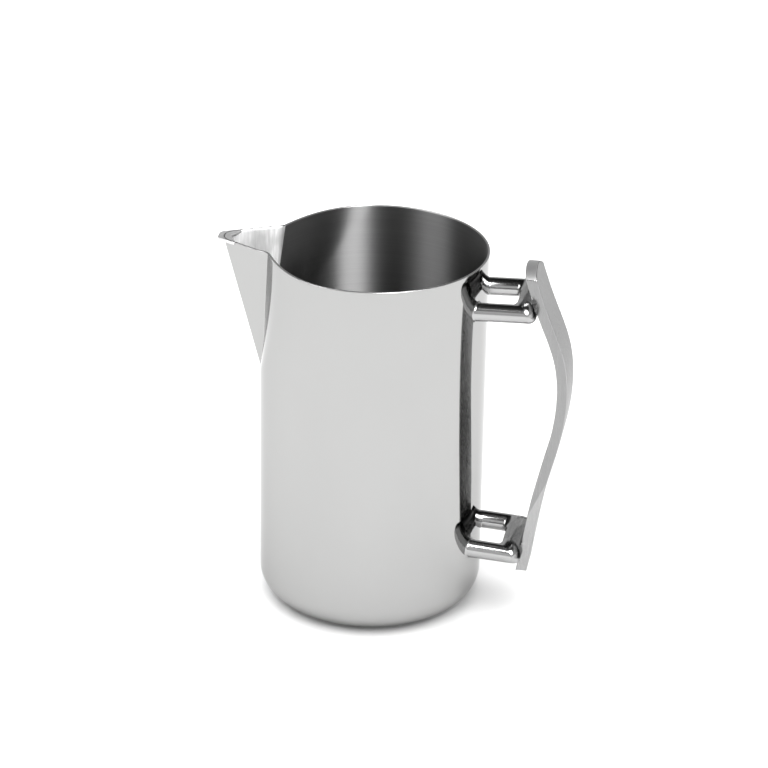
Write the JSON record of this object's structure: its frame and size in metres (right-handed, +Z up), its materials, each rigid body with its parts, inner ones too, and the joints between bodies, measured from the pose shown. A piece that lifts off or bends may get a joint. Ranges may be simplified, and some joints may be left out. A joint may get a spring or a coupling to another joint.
{
  "type": "water pitcher",
  "caption": "Straight-sided stainless steel water pitcher with a folded V spout and a bowed flat grip bar carried outside two rod loops.",
  "frame": {"origin": "centre of the flat base, on the surface the pitcher stands on", "axes": "+Z up along the body's axis, +X towards the handle and -X towards the spout, XZ is the plane of symmetry"},
  "size_m": [0.1857, 0.118, 0.196],
  "materials": {
    "polished_sheet": "polished outside, brushed inside",
    "polished_rod": "mirror polished",
    "satin_bar": "satin"
  },
  "bodies": {
    "root": {"body_shell": "polished_sheet", "spout": "polished_sheet", "pouring_lip": "satin_bar", "upper_loop": "polished_rod", "lower_loop": "polished_rod", "grip_bar": "satin_bar"}
  },
  "joints": []
}
